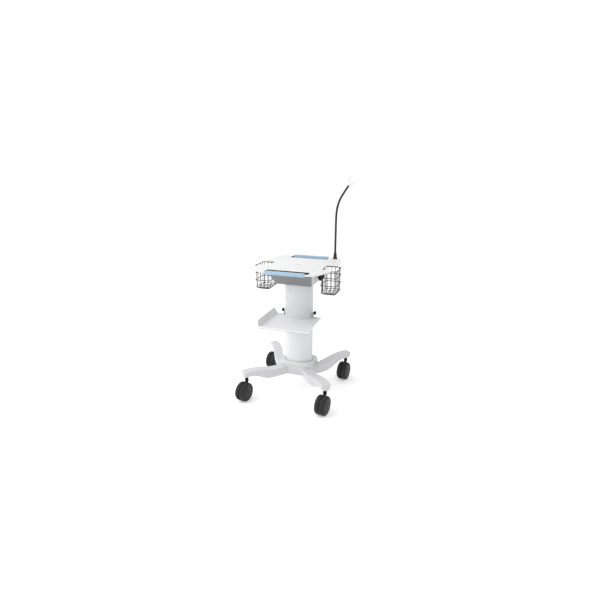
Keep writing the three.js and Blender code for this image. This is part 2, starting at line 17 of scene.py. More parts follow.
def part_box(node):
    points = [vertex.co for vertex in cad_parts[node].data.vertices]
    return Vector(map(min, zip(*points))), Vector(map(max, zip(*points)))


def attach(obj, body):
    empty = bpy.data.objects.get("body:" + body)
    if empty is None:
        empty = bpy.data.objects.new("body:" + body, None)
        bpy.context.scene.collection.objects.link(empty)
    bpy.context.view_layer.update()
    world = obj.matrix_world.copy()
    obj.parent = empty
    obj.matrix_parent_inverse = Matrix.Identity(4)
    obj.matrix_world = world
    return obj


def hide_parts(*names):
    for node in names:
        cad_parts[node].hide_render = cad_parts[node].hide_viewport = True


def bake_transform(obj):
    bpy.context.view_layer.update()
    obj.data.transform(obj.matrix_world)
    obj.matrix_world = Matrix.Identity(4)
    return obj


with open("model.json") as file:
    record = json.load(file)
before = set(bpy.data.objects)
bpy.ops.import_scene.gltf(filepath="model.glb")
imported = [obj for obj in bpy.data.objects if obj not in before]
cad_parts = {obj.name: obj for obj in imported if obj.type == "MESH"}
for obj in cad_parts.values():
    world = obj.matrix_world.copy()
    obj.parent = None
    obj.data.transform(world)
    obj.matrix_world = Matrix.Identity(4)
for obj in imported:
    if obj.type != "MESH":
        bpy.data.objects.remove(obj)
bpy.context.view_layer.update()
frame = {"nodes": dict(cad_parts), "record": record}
nodes = frame["nodes"]
scene = bpy.context.scene

MM = 0.001
COLUMN_Y = (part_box("column")[0].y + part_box("column")[1].y) / 2
SIDES = {"left": -1, "right": 1}

# Millimetres: half the column's width and depth, then heights above the floor.
COLUMN_HALF_X = 90
COLUMN_HALF_Y = 65
PLATFORM_BOTTOM = 810
PLATFORM_TOP = 816
UNDER_PLATFORM = 809.7
TRAY_FLOOR = 485
KNOB_HEIGHT = 515
WHEEL_CENTRE = 58

# Where the gooseneck stands on the platform.
NECK_X = 166
NECK_Y = 234

# Each caster's stem as x and y, and its turn in degrees. The axle lies TRAIL from the stem's axis.
TRAIL = 32
CORNERS = {
    "front_left": (-251, -262, -10),
    "front_right": (251, -262, -9),
    "rear_left": (-259, 226, -6),
    "rear_right": (259, 226, -8),
}


# ---------------------------------------------------------------- materials
# Sockets of a Mix node that mixes colours.
MIX_SHARE = 0
MIX_FIRST = 6
MIX_SECOND = 7
MIX_RESULT = 2


def set_inputs(node, **values):
    """Sets a node's sockets by name; an underscore stands for a space."""
    for name, value in values.items():
        node.inputs[name.replace("_", " ")].default_value = value


class Shader:
    """A node material: a principled surface with helpers for procedural detail."""

    def __init__(self, name, roughness, metallic=0.0, specular=0.5):
        self.material = bpy.data.materials.new(name)
        self.material.use_nodes = True
        self.tree = self.material.node_tree
        self.tree.nodes.clear()
        self.surface = self.add("ShaderNodeBsdfPrincipled")
        out = self.add("ShaderNodeOutputMaterial")
        self.link(self.surface.outputs["BSDF"], out.inputs["Surface"])
        set_inputs(self.surface, Roughness=roughness, Metallic=metallic, Specular_IOR_Level=specular)
        self.place = self.add("ShaderNodeTexCoord").outputs["Object"]

    def add(self, kind):
        return self.tree.nodes.new(kind)

    def link(self, source, target):
        self.tree.links.new(source, target)

    def stretched(self, x, y, z):
        """The place on the object, scaled along each axis."""
        mapping = self.add("ShaderNodeMapping")
        set_inputs(mapping, Scale=(x, y, z))
        self.link(self.place, mapping.inputs["Vector"])
        return mapping.outputs["Vector"]

    def noise(self, scale, detail, vector=None):
        texture = self.add("ShaderNodeTexNoise")
        set_inputs(texture, Scale=scale, Detail=detail)
        self.link(vector or self.place, texture.inputs["Vector"])
        return texture.outputs["Fac"]

    def cells(self, scale):
        texture = self.add("ShaderNodeTexVoronoi")
        set_inputs(texture, Scale=scale)
        self.link(self.place, texture.inputs["Vector"])
        return texture.outputs["Distance"]

    def spread(self, value, low, high, to_low, to_high):
        """Maps a range of values to another."""
        node = self.add("ShaderNodeMapRange")
        set_inputs(node, From_Min=low, From_Max=high, To_Min=to_low, To_Max=to_high)
        self.link(value, node.inputs["Value"])
        return node.outputs["Result"]

    def varied(self, noise, to_low, to_high):
        """Maps a noise to a range; most of its values lie between 0.3 and 0.7."""
        return self.spread(noise, 0.3, 0.7, to_low, to_high)

    def mixed(self, share, first, second):
        """Mixes two colours, each a tuple or a socket."""
        node = self.add("ShaderNodeMix")
        node.data_type = "RGBA"
        self.link(share, node.inputs[MIX_SHARE])
        for socket, value in ((node.inputs[MIX_FIRST], first), (node.inputs[MIX_SECOND], second)):
            if isinstance(value, tuple):
                socket.default_value = (*value, 1)
            else:
                self.link(value, socket)
        return node.outputs[MIX_RESULT]

    def edges(self, start, full):
        """Bright on worn convex edges."""
        pointiness = self.add("ShaderNodeNewGeometry").outputs["Pointiness"]
        return self.spread(pointiness, start, full, 0.0, 1.0)

    def colour(self, socket):
        self.link(socket, self.surface.inputs["Base Color"])

    def roughness(self, socket):
        self.link(socket, self.surface.inputs["Roughness"])

    def bump(self, height, strength, distance):
        """Adds a bump on top of any bump that is there already."""
        node = self.add("ShaderNodeBump")
        set_inputs(node, Strength=strength, Distance=distance)
        previous = self.surface.inputs["Normal"]
        if previous.is_linked:
            self.link(previous.links[0].from_socket, node.inputs["Normal"])
        self.link(height, node.inputs["Height"])
        self.link(node.outputs["Normal"], self.surface.inputs["Normal"])


def shade(colour, factor):
    return tuple(min(1.0, part * factor) for part in colour)


def painted(name, colour, roughness, grain=1400, strength=0.12):
    """Paint or a painted casting: orange peel, slight clouding, and edges rubbed a little darker."""
    look = Shader(name, roughness)
    cloud = look.varied(look.noise(9, 4), 0, 1)
    body = look.mixed(cloud, shade(colour, 0.975), colour)
    rubbed = look.edges(0.53, 0.62)
    look.colour(look.mixed(rubbed, body, shade(colour, 0.94)))
    look.roughness(look.varied(look.noise(60, 5), roughness - 0.05, roughness + 0.08))
    look.bump(look.noise(grain, 2), strength, 0.0004)
    look.bump(look.noise(140, 2), strength * 0.5, 0.0006)
    return look.material


def moulded(name, colour, roughness, grain=2200, strength=0.25, cloud=0.9, specular=0.5):
    """Moulded plastic with a fine spark-eroded grain."""
    look = Shader(name, roughness, specular=specular)
    patch = look.varied(look.noise(14, 4), 0, 1)
    look.colour(look.mixed(patch, shade(colour, cloud), colour))
    look.roughness(look.varied(look.noise(90, 4), roughness - 0.06, roughness + 0.08))
    look.bump(look.cells(grain), strength, 0.0003)
    return look.material


def extruded(name, colour):
    """Anodised extrusion: faint lines drawn along the length."""
    look = Shader(name, 0.38)
    lines = look.noise(1.0, 4, look.stretched(420, 420, 1.2))
    soft = look.spread(lines, 0.35, 0.65, 0, 1)
    look.colour(look.mixed(soft, shade(colour, 0.982), colour))
    look.roughness(look.varied(lines, 0.33, 0.43))
    look.bump(lines, 0.05, 0.0003)
    look.bump(look.noise(1800, 2), 0.06, 0.0002)
    return look.material


def foam(name, colour):
    """Soft grip sleeve: closed-cell skin with a fine pebble and a slight sheen."""
    look = Shader(name, 0.62, specular=0.35)
    set_inputs(look.surface, Sheen_Weight=0.25, Sheen_Roughness=0.4)
    patch = look.varied(look.noise(38, 5), 0, 1)
    look.colour(look.mixed(patch, shade(colour, 0.93), colour))
    look.roughness(look.varied(look.noise(300, 4), 0.55, 0.72))
    look.bump(look.cells(900), 0.35, 0.0005)
    look.bump(look.noise(3000, 2), 0.15, 0.0003)
    return look.material


def rubber(name, colour, dust):
    """Tyre tread: matt, with floor dust held in patches of its grain."""
    look = Shader(name, 0.72, specular=0.25)
    grime = look.spread(look.noise(45, 6), 0.48, 0.72, 0, 0.7)
    look.colour(look.mixed(grime, colour, dust))
    look.roughness(look.varied(look.noise(220, 4), 0.62, 0.85))
    look.bump(look.noise(900, 4), 0.3, 0.0006)
    return look.material


def coated_wire(name, colour):
    """Powder coat on wire, a little paler where it is thin."""
    look = Shader(name, 0.45, specular=0.25)
    thin = look.spread(look.noise(160, 4), 0.55, 0.75, 0, 0.5)
    look.colour(look.mixed(thin, colour, shade(colour, 1.8)))
    look.roughness(look.varied(look.noise(500, 3), 0.3, 0.48))
    look.bump(look.noise(2600, 2), 0.35, 0.0003)
    return look.material


def metal(name, colour, roughness):
    """Plated metal with fine drawn lines."""
    look = Shader(name, roughness, metallic=1.0)
    lines = look.noise(1.0, 3, look.stretched(900, 900, 60))
    look.colour(look.mixed(look.varied(lines, 0, 1), shade(colour, 0.88), colour))
    look.roughness(look.varied(lines, roughness - 0.06, roughness + 0.1))
    look.bump(lines, 0.08, 0.0002)
    return look.material


LOOKS = {
    "cast_white": painted("cast_white_paint", (0.56, 0.56, 0.571), 0.42),
    "cover_white": moulded("cover_white_plastic", (0.62, 0.62, 0.632), 0.45, strength=0.15, cloud=0.975),
    "column_grey": extruded("column_satin", (0.65, 0.66, 0.681)),
    # Partly painted shade: the housing's own grey is made darker still to stand for the shade under the
    # platform.
    "housing_grey": moulded("housing_grey_plastic_darkened_for_shade", (0.20, 0.203, 0.21), 0.5, cloud=0.95),
    "platform_white": moulded("platform_white_plastic", (0.69, 0.69, 0.692), 0.5, strength=0.18, cloud=0.98),
    "grip_blue": foam("grip_blue_foam", (0.325, 0.465, 0.59)),
    "tray_white": painted("tray_white_powder", (0.71, 0.71, 0.72), 0.45, grain=1900, strength=0.2),
    "wire_black": coated_wire("wire_black_coat", (0.010, 0.0105, 0.012)),
    "moulded_black": moulded("moulded_black_plastic", (0.007, 0.007, 0.0075), 0.6, cloud=0.7, specular=0.15),
    "tyre_grey": rubber("tyre_grey_rubber", (0.021, 0.021, 0.0225), (0.036, 0.0355, 0.035)),
    "hub_grey": moulded("hub_grey_plastic", (0.018, 0.018, 0.0195), 0.5, cloud=0.8, specular=0.3),
    "neck_black": moulded("neck_black_sleeve", (0.013, 0.013, 0.014), 0.48, grain=3000, cloud=0.7),
    "clip_white": moulded("clip_white_plastic", (0.70, 0.70, 0.69), 0.4, strength=0.12, cloud=0.97),
    "steel": metal("zinc_plated_steel", (0.62, 0.62, 0.64), 0.32),
}


# ---------------------------------------------------------------- meshes and pieces
def put(points):
    """Millimetres round the column's axis to metres in the row frame."""
    return [(x * MM, y * MM + COLUMN_Y, z * MM) for x, y, z in points]


def clean_mesh(name, verts, faces):
    """A mesh with its normals facing outwards."""
    mesh = bpy.data.meshes.new(name)
    mesh.from_pydata([tuple(v) for v in verts], [], [tuple(f) for f in faces])
    mesh.validate()
    edit = bmesh.new()
    edit.from_mesh(mesh)
    bmesh.ops.recalc_face_normals(edit, faces=edit.faces)
    edit.to_mesh(mesh)
    edit.free()
    return mesh


def added(name, data):
    """A new object in the scene."""
    obj = bpy.data.objects.new(name, data)
    scene.collection.objects.link(obj)
    return obj


def smooth(mesh, crease=None):
    """Shades a mesh smooth, but for edges that turn by more than crease degrees."""
    mesh.shade_smooth()
    if crease:
        mesh.set_sharp_from_angle(angle=math.radians(crease))


def dress(obj, slot, body, *replaced):
    """Gives a piece its look, its body and the CAD nodes it stands for."""
    obj.data.materials.clear()
    obj.data.materials.append(LOOKS[slot])
    if body:
        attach(obj, body)
    if replaced:
        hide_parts(*replaced)
    return obj


def make(name, verts, faces, slot, body, *replaced, crease=35):
    mesh = clean_mesh(name, verts, faces)
    smooth(mesh, crease)
    return dress(added(name, mesh), slot, body, *replaced)


def modified(obj, kind, **settings):
    """Adds a modifier and applies it to the mesh."""
    modifier = obj.modifiers.new(kind.lower(), kind)
    for key, value in settings.items():
        setattr(modifier, key, value)
    baked = bpy.data.meshes.new_from_object(obj.evaluated_get(bpy.context.evaluated_depsgraph_get()))
    obj.modifiers.clear()
    obj.data = baked


def softened(obj, width, segments=3):
    """Rounds the sharp edges by width millimetres."""
    limit = math.radians(35)
    modified(obj, "BEVEL", width=width * MM, segments=segments, limit_method="ANGLE", angle_limit=limit)
    smooth(obj.data, 40)


def skin_faces(rings, size, closed=False):
    """Faces between rings of equal size; closed also joins the last ring to the first."""
    faces = []
    for k in range(rings if closed else rings - 1):
        near, far = k * size, (k + 1) % rings * size
        for i in range(size):
            j = (i + 1) % size
            faces.append((near + i, near + j, far + j, far + i))
    return faces


def body_faces(rings, size):
    """Faces between rings of equal size, and a flat face at each end."""
    first = tuple(range(size))[::-1]
    last = tuple(range((rings - 1) * size, rings * size))
    return [*skin_faces(rings, size), first, last]


def body_through(rings):
    """Vertices and faces of a closed body through rings of points in millimetres."""
    verts = put([point for ring in rings for point in ring])
    return verts, body_faces(len(rings), len(rings[0]))


def loft(name, rings, slot, body, *replaced, closed=False, crease=35):
    """A piece through rings of equal size, with flat ends or, when closed, its ends joined."""
    verts, faces = body_through(rings)
    if closed:
        faces = skin_faces(len(rings), len(rings[0]), closed=True)
    return make(name, verts, faces, slot, body, *replaced, crease=crease)


def gathered(parts):
    """Several sets of vertices and faces as one."""
    verts, faces = [], []
    for part_verts, part_faces in parts:
        first = len(verts)
        verts += list(part_verts)
        faces += [tuple(first + i for i in face) for face in part_faces]
    return verts, faces


def cut_out(obj, cutters):
    """Cuts closed bodies, given as vertices and faces, out of a piece."""
    cutter = added("cutter", clean_mesh("cutter", *gathered(cutters)))
    modified(obj, "BOOLEAN", operation="DIFFERENCE", object=cutter, solver="EXACT")
    bpy.data.objects.remove(cutter)


# ---------------------------------------------------------------- outlines
def bent_corner(before, here, after, radius, steps):
    """Points of a smooth bend that leaves a corner's sides at radius from it."""
    before, here, after = (np.array(point, float) for point in (before, here, after))
    start = here + (before - here) / np.linalg.norm(before - here) * radius
    end = here + (after - here) / np.linalg.norm(after - here) * radius
    bend = []
    for t in np.linspace(0, 1, steps + 1):
        bend.append((1 - t) ** 2 * start + 2 * t * (1 - t) * here + t**2 * end)
    return bend


def rounded_loop(corners, steps=8):
    """A closed outline from (x, y, corner radius) points."""
    loop = []
    for i, (x, y, radius) in enumerate(corners):
        before, after = corners[i - 1][:2], corners[(i + 1) % len(corners)][:2]
        loop += [tuple(point) for point in bent_corner(before, (x, y), after, radius, steps)]
    return loop


def rounded_box(x0, x1, y0, y1, radius, steps=8):
    corners = ((x0, y0), (x1, y0), (x1, y1), (x0, y1))
    return rounded_loop([(x, y, radius) for x, y in corners], steps)


def rounded_rect(half_width, front, rear, radius, steps=8):
    return rounded_box(-half_width, half_width, front, rear, radius, steps)


def circle_loop(x, y, radius):
    angles = np.linspace(0, 2 * math.pi, 32, endpoint=False)
    return [(x + radius * math.cos(a), y + radius * math.sin(a)) for a in angles]


def by_angle(loop, z, count=240):
    """The same outline as count points at even angles round the column's axis."""
    dense = []
    for (x0, y0), (x1, y1) in zip(loop, loop[1:] + loop[:1]):
        for t in np.linspace(0, 1, 24, endpoint=False):
            dense.append((x0 + (x1 - x0) * t, y0 + (y1 - y0) * t))
    dense = np.array(dense)
    angle = np.arctan2(dense[:, 1], dense[:, 0])
    order = np.argsort(angle)
    radius = np.hypot(dense[:, 0], dense[:, 1])[order]
    even = np.linspace(-math.pi, math.pi, count, endpoint=False)
    reach = np.interp(even, angle[order], radius, period=2 * math.pi)
    return [(float(r * math.cos(a)), float(r * math.sin(a)), z) for r, a in zip(reach, even)]


def shrunk_ring(half_width, half_depth, radius, shrink, z, count=240):
    """A rounded rectangle round the column's axis, smaller by shrink all round."""
    depth = half_depth - shrink
    return by_angle(rounded_rect(half_width - shrink, -depth, depth, radius - shrink), z, count)


def oval(growth, z, count=240):
    """The column's outline grown by an amount, at even angles round its axis."""
    half_x, half_y = COLUMN_HALF_X + growth, COLUMN_HALF_Y + growth
    ring = []
    for angle in np.linspace(-math.pi, math.pi, count, endpoint=False):
        r = half_x * half_y / math.hypot(half_y * math.cos(angle), half_x * math.sin(angle))
        ring.append((r * math.cos(angle), r * math.sin(angle), z))
    return ring


def turning(loop, direction):
    """The outline, running anticlockwise for direction 1 and clockwise for -1."""
    area = sum(x0 * y1 - x1 * y0 for (x0, y0), (x1, y1) in zip(loop, loop[1:] + loop[:1]))
    return loop if area * direction > 0 else loop[::-1]


def unit(vector):
    return vector / max(np.linalg.norm(vector), 1e-9)


def inset(loop, distance):
    """Moves an outline into the material on its left by a distance."""
    points = np.array(loop, float)
    ahead = np.roll(points, -1, 0) - points
    behind = points - np.roll(points, 1, 0)
    moved = []
    for point, (ax, ay), (bx, by) in zip(points, ahead, behind):
        left_ahead = unit(np.array([-ay, ax]))
        left = unit(unit(np.array([-by, bx])) + left_ahead)
        moved.append(tuple(point + left / max(0.5, float(left @ left_ahead)) * distance))
    return moved


def spline(points, per_span):
    """A smooth line through points (Catmull-Rom)."""
    p = np.array(points, float)
    p = np.vstack([2 * p[0] - p[1], p, 2 * p[-1] - p[-2]])
    line = []
    for a, b, c, d in zip(p, p[1:], p[2:], p[3:]):
        for t in np.linspace(0, 1, per_span, endpoint=False):
            square = (2 * a - 5 * b + 4 * c - d) * t**2
            cube = (3 * b - a - 3 * c + d) * t**3
            line.append(0.5 * (2 * b + (c - a) * t + square + cube))
    line.append(p[-2])
    return np.array(line)


def run_lengths(line):
    """How far along a line each of its points lies."""
    return np.concatenate([[0], np.cumsum(np.linalg.norm(np.diff(line, axis=0), axis=1))])


def path_with_bends(points, radius):
    """A line through points with its inner corners bent to a radius."""
    line = [np.array(points[0], float)]
    for before, here, after in zip(points, points[1:], points[2:]):
        line += bent_corner(before, here, after, radius, 6)
    line.append(np.array(points[-1], float))
    return line


# ---------------------------------------------------------------- kinds of body
def slab(name, outer, holes, z0, z1, edge, slot, body, *replaced, pockets=(), shape=None):
    """A flat piece with rounded edges, through holes and shallow round pockets in its top."""
    verts, faces, tops, bottoms = [], [], [], []

    def add_wall(loop, levels):
        """Carries an outline through levels of (inset, z) and gives its first and last ring."""
        first = len(verts)
        for distance, z in levels:
            verts.extend((x, y, z) for x, y in inset(loop, distance))
        faces.extend(tuple(first + i for i in face) for face in skin_faces(len(levels), len(loop)))
        return range(first, first + len(loop)), range(len(verts) - len(loop), len(verts))

    quarter = []
    for angle in np.linspace(0, math.pi / 2, 5):
        quarter.append((edge * (1 - math.sin(angle)), edge * (1 - math.cos(angle))))
    levels = [(i, z0 + d) for i, d in quarter] + [(i, z1 - d) for i, d in quarter[::-1]]
    for loop in [turning(outer, 1), *(turning(hole, -1) for hole in holes)]:
        bottom, top = add_wall(loop, levels)
        bottoms.append(bottom)
        tops.append(top)
    for loop, depth in pockets:
        sunk = z1 - depth
        rim, floor = add_wall(turning(loop, -1), ((0, z1), (-0.3, z1 - 0.3), (-0.4, sunk), (-1.0, sunk)))
        faces.append(tuple(floor))
        tops.append(rim)
    for rings in (bottoms, tops):
        flat = [[Vector((verts[i][0], verts[i][1], 0)) for i in ring] for ring in rings]
        order = [i for ring in rings for i in ring]
        faces += [tuple(order[i] for i in triangle) for triangle in tessellate_polygon(flat)]
    placed = [tuple(shape @ Vector(v)) for v in verts] if shape else put(verts)
    return make(name, placed, faces, slot, body, *replaced)


def turned(name, profile, slot, body, *replaced, centre, count, axis=None, wave=None, crease=35):
    """A turned piece: profile points are (radius, height) in millimetres from centre along axis."""
    turn = Matrix.Identity(4)
    if axis:
        turn = Vector((0, 0, 1)).rotation_difference(Vector(axis)).to_matrix().to_4x4()
    move = Matrix.Translation(put([centre])[0])
    starts_on_axis = profile[0][0] < 1e-6
    ends_on_axis = profile[-1][0] < 1e-6
    rings = profile[1 if starts_on_axis else 0 : -1 if ends_on_axis else None]
    verts = []
    for radius, height in rings:
        for i in range(count):
            angle = 2 * math.pi * i / count
            r, h = wave(radius, height, angle) if wave else (radius, height)
            verts.append((r * math.cos(angle), r * math.sin(angle), h))
    faces = skin_faces(len(rings), count, closed=not (starts_on_axis or ends_on_axis))
    tips = ((starts_on_axis, profile[0], 0), (ends_on_axis, profile[-1], len(verts) - count))
    for on_axis, point, first in tips:
        if on_axis:
            tip = len(verts)
            verts.append((0, 0, point[1]))
            faces += [(tip, first + i, first + (i + 1) % count) for i in range(count)]
    placed = [tuple(move @ turn @ (Vector(v) * MM)) for v in verts]
    return make(name, placed, faces, slot, body, *replaced, crease=crease)


def tube(points, radius, sides, closed=False):
    """Vertices and faces of a round wire or hose along a line; radius may vary along it."""
    p = np.array(points, float)
    count = len(p)
    tangent = np.roll(p, -1, 0) - np.roll(p, 1, 0) if closed else np.gradient(p, axis=0)
    tangent /= np.linalg.norm(tangent, axis=1)[:, None]
    radii = np.full(count, radius, float) if np.isscalar(radius) else np.array(radius, float)
    up = np.array([0.0, 0.0, 1.0]) if abs(tangent[0][2]) < 0.9 else np.array([1.0, 0.0, 0.0])
    normal = np.cross(tangent[0], up)
    normal /= np.linalg.norm(normal)
    verts = []
    for k in range(count):
        normal = normal - tangent[k] * (normal @ tangent[k])
        normal /= np.linalg.norm(normal)
        other = np.cross(tangent[k], normal)
        for i in range(sides):
            angle = 2 * math.pi * i / sides
            verts.append(tuple(p[k] + radii[k] * (math.cos(angle) * normal + math.sin(angle) * other)))
    faces = skin_faces(count, sides, closed=True) if closed else body_faces(count, sides)
    return verts, faces


def cylinder(x, y, z0, z1, radius):
    ring = circle_loop(x, y, radius)
    return body_through([[(u, v, z) for u, v in ring] for z in (z0, z1)])


def box_body(x0, x1, y0, y1, z0, z1):
    verts = put([(x, y, z) for z in (z0, z1) for x, y in ((x0, y0), (x1, y0), (x1, y1), (x0, y1))])
    faces = [(0, 3, 2, 1), (4, 5, 6, 7), (0, 1, 5, 4), (1, 2, 6, 5), (2, 3, 7, 6), (3, 0, 4, 7)]
    return verts, faces


# ---------------------------------------------------------------- camera, light, floor
def set_camera():
    camera = bpy.data.cameras.new("camera")
    camera.lens = 27.06
    camera.sensor_width = 36
    eye = added("camera", camera)
    eye.location = (0.868, -2.527 + COLUMN_Y, 1.410)
    eye.rotation_euler = (math.radians(90 - 16.77), 0, math.radians(19.15))
    scene.camera = eye


def set_floor():
    mesh = bpy.data.meshes.new("floor")
    reach = 40
    corners = [(-reach, -reach, 0), (reach, -reach, 0), (reach, reach, 0), (-reach, reach, 0)]
    mesh.from_pydata(corners, [], [(0, 1, 2, 3)])
    floor = added("floor", mesh)
    pale = Shader("pale_floor", 0.85, specular=0.2)
    grain = pale.varied(pale.noise(3, 3), 0, 1)
    pale.colour(pale.mixed(grain, (0.90, 0.90, 0.905), (0.91, 0.91, 0.91)))
    set_inputs(pale.surface, Emission_Color=(1, 1, 1, 1), Emission_Strength=0.23)
    mesh.materials.append(pale.material)


def set_light():
    """A white world that is a little darker towards the right, and two soft lamps."""
    world = bpy.data.worlds.new("studio")
    world.use_nodes = True
    tree = world.node_tree
    sky = tree.nodes["Background"]
    set_inputs(sky, Color=(1, 1, 1, 1))
    direction = tree.nodes.new("ShaderNodeTexCoord")
    split = tree.nodes.new("ShaderNodeSeparateXYZ")
    darker_right = tree.nodes.new("ShaderNodeMapRange")
    set_inputs(darker_right, From_Min=0.3, From_Max=0.9, To_Min=1.0, To_Max=0.82)
    tree.links.new(direction.outputs["Generated"], split.inputs["Vector"])
    tree.links.new(split.outputs["X"], darker_right.inputs["Value"])
    tree.links.new(darker_right.outputs["Result"], sky.inputs["Strength"])
    scene.world = world

    target = Vector((0, 0, 0.6))
    for name, place, size, power in (
        ("key", (-2.4, -1.4, 3.0), 2.6, 75),
        ("fill", (2.8, -1.2, 2.2), 2.2, 2),
    ):
        light = bpy.data.lights.new(name, "AREA")
        light.size = size
        light.energy = power
        lamp = added(name, light)
        lamp.location = place
        lamp.rotation_euler = (target - Vector(place)).to_track_quat("-Z", "Y").to_euler()
    scene.view_settings.view_transform = "Standard"


# ---------------------------------------------------------------- base casting
# The arms' middle lines as x and y, drawn for the right side.
FRONT_ARM = [(60, -55), (128, -138), (184, -190), (222, -228), (251, -262), (266, -281)]
REAR_ARM = [(60, -22), (118, 4), (160, 58), (200, 138), (232, 192), (259, 226), (273, 242)]
ARM_HALF_WIDTH = 29
ARM_END_RADIUS = 9
BASE_UNDERSIDE = 112


def smoothstep(value, low, high):
    t = min(1.0, max(0.0, (value - low) / (high - low)))
    return t * t * (3 - 2 * t)


def arm(route, side):
    """One curved arm: a rounded section with two small steps, carried along its route and rising."""
    line = spline(route, 14)
    length = run_lengths(line)
    straight = length[-1] - ARM_END_RADIUS
    turn_in = straight + ARM_END_RADIUS * np.sin(np.linspace(0.1, math.pi / 2, 8))

    def on_route(distance):
        return np.array([np.interp(distance, length, line[:, axis]) for axis in (0, 1)])

    rings = []
    for station in np.concatenate([np.linspace(0, straight, 60), turn_in]):
        x, y = on_route(station)
        along = on_route(station + 1) - on_route(station - 1)
        along /= np.linalg.norm(along)
        across = np.array([along[1], -along[0]])
        width = ARM_HALF_WIDTH
        left = length[-1] - station
        if left < ARM_END_RADIUS:
            width -= ARM_END_RADIUS
            width += math.sqrt(max(0.0, ARM_END_RADIUS**2 - (ARM_END_RADIUS - left) ** 2))
        top = 167 + 17 * smoothstep(abs(x), 105, 235)
        bottom = BASE_UNDERSIDE + 36 * smoothstep(abs(x), 150, 235)
        right = [(width - 5.0, bottom, 3)]
        for rise, step in ((10, 5.0), (20, 2.5)):
            right += [(width - step, bottom + rise, 0.4), (width - step + 2.5, bottom + rise + 0.6, 0.4)]
        right.append((width, top, 3.5))
        section = rounded_loop(right + [(-u, v, c) for u, v, c in right[::-1]], 3)
        rings.append([(side * (x + u * across[0]), y + u * across[1], v) for u, v in section])
    return body_through(rings)


def hub_body():
    """The casting's hub, with the same two steps; its profile is (shrink, height)."""
    profile = [(7, BASE_UNDERSIDE), (5.4, 113), (5, 115), (5, 124), (2.5, 125), (2.5, 138), (0, 139)]
    profile += [(0, 177), (0.6, 179.2), (2.4, 180)]
    return body_through([shrunk_ring(111, 84, 40, shrink, z, 320) for shrink, z in profile])


def build_base():
    """Arms and hub as one skin, with screw recesses and sockets for the casters' stems."""
    arms = [arm(route, side) for route in (FRONT_ARM, REAR_ARM) for side in (-1, 1)]
    verts, faces = gathered([*arms, hub_body()])
    base = make("base_casting", verts, faces, "cast_white", None, crease=None)
    modified(base, "REMESH", mode="VOXEL", voxel_size=0.0014)
    modified(base, "SMOOTH", factor=0.5, iterations=2)
    recesses = [cylinder(x, y, 100, 118, 6.2) for x in (-60, 60) for y in (-40, 40)]
    sockets = [cylinder(x, y, 100, 147.5, 13) for x, y, _ in CORNERS.values()]
    cut_out(base, recesses + sockets)
    smooth(base.data, 50)
    dress(base, "cast_white", "frame", "base_frame")


def build_collar():
    """A cover of two steps on the hub, open for the column; its steps are (shrink, height)."""
    steps = [(0, 180.3), (0, 186.5), (0, 188.2), (0.6, 189.3), (1.6, 189.9), (4.0, 190.0), (4.3, 190.6)]
    steps += [(4.4, 193.5), (4.9, 195.6), (6.2, 196.7), (8.2, 197.0)]
    rings = [shrunk_ring(109, 82, 39, shrink, z) for shrink, z in steps]
    rings += [oval(1.6, 197.0), oval(0.8, 196.2), oval(0.6, 194), oval(0.6, 180.3)]
    loft("base_collar_cover", rings, "cover_white", "frame", "base_collar", closed=True, crease=50)


# ---------------------------------------------------------------- column
def build_column():
    """The oval extrusion, with a slot down each side that opens into a wider channel."""
    start = math.asin(3.5 / COLUMN_HALF_Y)
    mouth = 3.3
    wide = 2 * mouth
    channel = [(-0.4, mouth), (-5.8, mouth), (-5.8, wide), (-13, wide)]
    channel += [(depth, -y) for depth, y in channel[::-1]]
    ring = []
    for side in (1, -1):
        for angle in np.linspace(start, math.pi - start, 120):
            ring.append((side * COLUMN_HALF_X * math.cos(angle), side * COLUMN_HALF_Y * math.sin(angle)))
        edge = COLUMN_HALF_X * math.cos(start)
        ring += [(-side * (edge + depth), side * y) for depth, y in channel]
    levels = [127.5, 197.4, 350, 500, 650, 770]
    rings = [[(x, y, z) for x, y in ring] for z in levels]
    loft("column_extrusion", rings, "column_grey", "frame", "column", crease=30)


# ---------------------------------------------------------------- housing
def build_housing():
    """A bowl that widens upwards from the column. Its left and right sides are a piece of their own in the
    pale cover look, as painted light where the light falls on them, while the rest keeps the dark grey.
    """
    bottom, count = 709, 288
    levels = [(1.0, 0.6), (0.985, 0.0), (0.955, 0.0), (0.945, 0.9), (0.93, 0.9), (0.92, 0.0)]
    levels += [(rise, 0.0) for rise in np.linspace(0.9, 0.04, 22)]
    levels += [(0.02, 0.5), (0.006, 1.6), (0.0, 3.2)]
    rings = []
    for rise, shrink in levels:
        opened = rise**0.7
        half = 112 + 28 * opened - shrink
        front = -100 - 84 * opened + shrink
        rear = 96 + 54 * opened - shrink
        outline = rounded_rect(half, front, rear, 19 + 5 * opened, 12)
        rings.append(by_angle(outline, bottom + (UNDER_PLATFORM - bottom) * rise, count))
    rings += [oval(2.4, bottom, count), oval(1.0, bottom + 0.6, count)]
    rings += [oval(0.6, bottom + 2, count), oval(0.6, bottom + 8, count)]
    verts = put([point for ring in rings for point in ring])
    shell_faces, lit_side_faces = [], []
    for face in skin_faces(len(rings), count):
        a, b, c, _ = (Vector(verts[i]) for i in face)
        normal = (b - a).cross(c - a)
        # Painted light: faces turned to the left or right go to the pale piece, as the lit sides.
        lit_side = abs(normal.x) > 0.8 * normal.length and abs(a.x) > 105 * MM
        (lit_side_faces if lit_side else shell_faces).append(face)
    make("top_housing_shell", verts, shell_faces, "housing_grey", "frame", "top_housing", crease=50)
    sides = make("top_housing_lit_sides", verts, lit_side_faces, "cover_white", "frame", crease=50)
    trim = bmesh.new()
    trim.from_mesh(sides.data)
    bmesh.ops.delete(trim, geom=[v for v in trim.verts if not v.link_faces], context="VERTS")
    trim.to_mesh(sides.data)
    trim.free()


